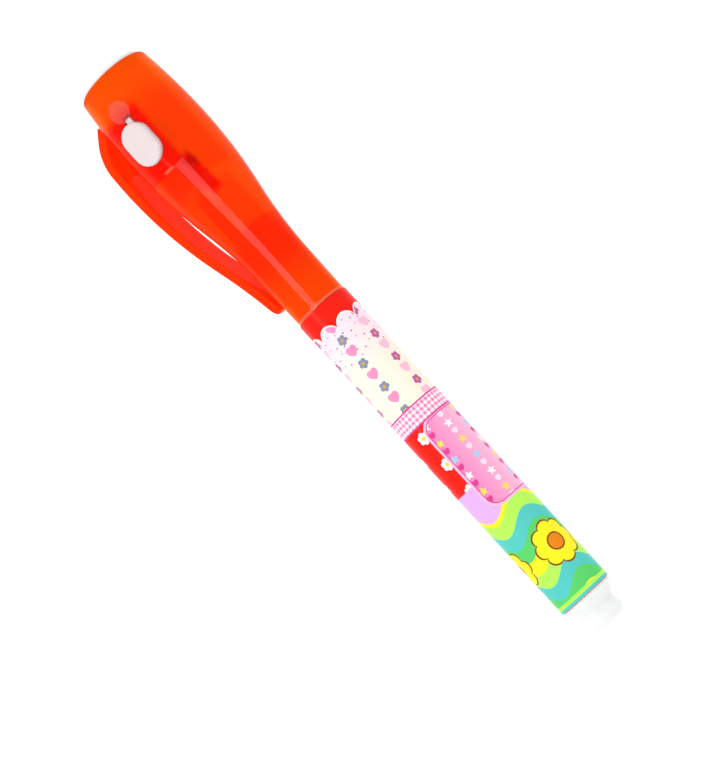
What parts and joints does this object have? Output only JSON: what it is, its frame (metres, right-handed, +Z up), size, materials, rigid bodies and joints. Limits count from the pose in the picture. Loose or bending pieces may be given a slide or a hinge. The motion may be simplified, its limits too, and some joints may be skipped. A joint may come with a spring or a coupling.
{
  "type": "uv invisible ink pen",
  "caption": "Capped felt-tip pen whose translucent red cap holds a lamp with a push button and a pocket clip; printed barrel and frosted end plug.",
  "frame": {"origin": "on the pen's axis, where the barrel's shoulder meets the mouth of the cap", "axes": "+X along the pen towards the end plug, -X towards the lamp; +Z up as the pen lies on a table on its cap's bulge and the edge of its clip"},
  "size_m": [0.1351, 0.0211, 0.0177],
  "materials": {
    "barrel_red": "moulded, opaque red",
    "print_film": "thin printed film, glossy",
    "frosted_white": "frosted, slightly see-through",
    "nib_fibre": "pressed fibre",
    "reservoir_fibre": "bundled fibre",
    "wrapper_film": "clear film",
    "cap_red": "translucent, moulded, glossy",
    "lamp_clear": "clear cast epoxy",
    "lead_steel": "tinned wire",
    "holder_white": "moulded",
    "cell_steel": "plated can",
    "spring_steel": "plated wire",
    "leaf_brass": "stamped strip",
    "button_white": "moulded, satin",
    "tab_clear": "clear film"
  },
  "bodies": {
    "pen": {"barrel": "barrel_red", "printed_sleeve": "print_film", "end_plug": "frosted_white", "fibre_nib": "nib_fibre", "ink_reservoir": "reservoir_fibre", "reservoir_wrapper": "wrapper_film"},
    "cap": {"cap_shell": "cap_red", "light_lens": "frosted_white", "battery_holder": "holder_white", "uv_led": "lamp_clear", "led_cell_lead": "lead_steel", "led_switch_lead": "lead_steel", "button_cell_front": "cell_steel", "button_cell_middle": "cell_steel", "button_cell_rear": "cell_steel", "battery_spring": "spring_steel", "switch_leaf": "leaf_brass"},
    "button": {"push_button": "button_white"},
    "clip": {"pocket_clip": "cap_red"},
    "tab": {"pull_tab": "tab_clear"}
  },
  "joints": [
    {"name": "cap_pull", "type": "slide", "parent": "pen", "child": "cap", "axis": [-1, 0, 0], "range_m": [0, 0.04]},
    {"name": "button_press", "type": "slide", "parent": "cap", "child": "button", "axis": [0, 0.4278, -0.9039], "range_m": [0, 0.0006], "stiffness_N_per_m": 1000, "springref_m": -0.0006, "deforming": ["switch_leaf"]},
    {"name": "clip_flex", "type": "hinge", "parent": "cap", "child": "clip", "pos_m": [-0.0525, -0.00719, -0.0034], "axis": [0, 0.4278, -0.9039], "range_deg": [0, 5], "stiffness_Nm_per_rad": 2},
    {"name": "tab_pull", "type": "slide", "parent": "cap", "child": "tab", "axis": [0, -0.4278, 0.9039], "range_m": [0, 0.012]}
  ]
}
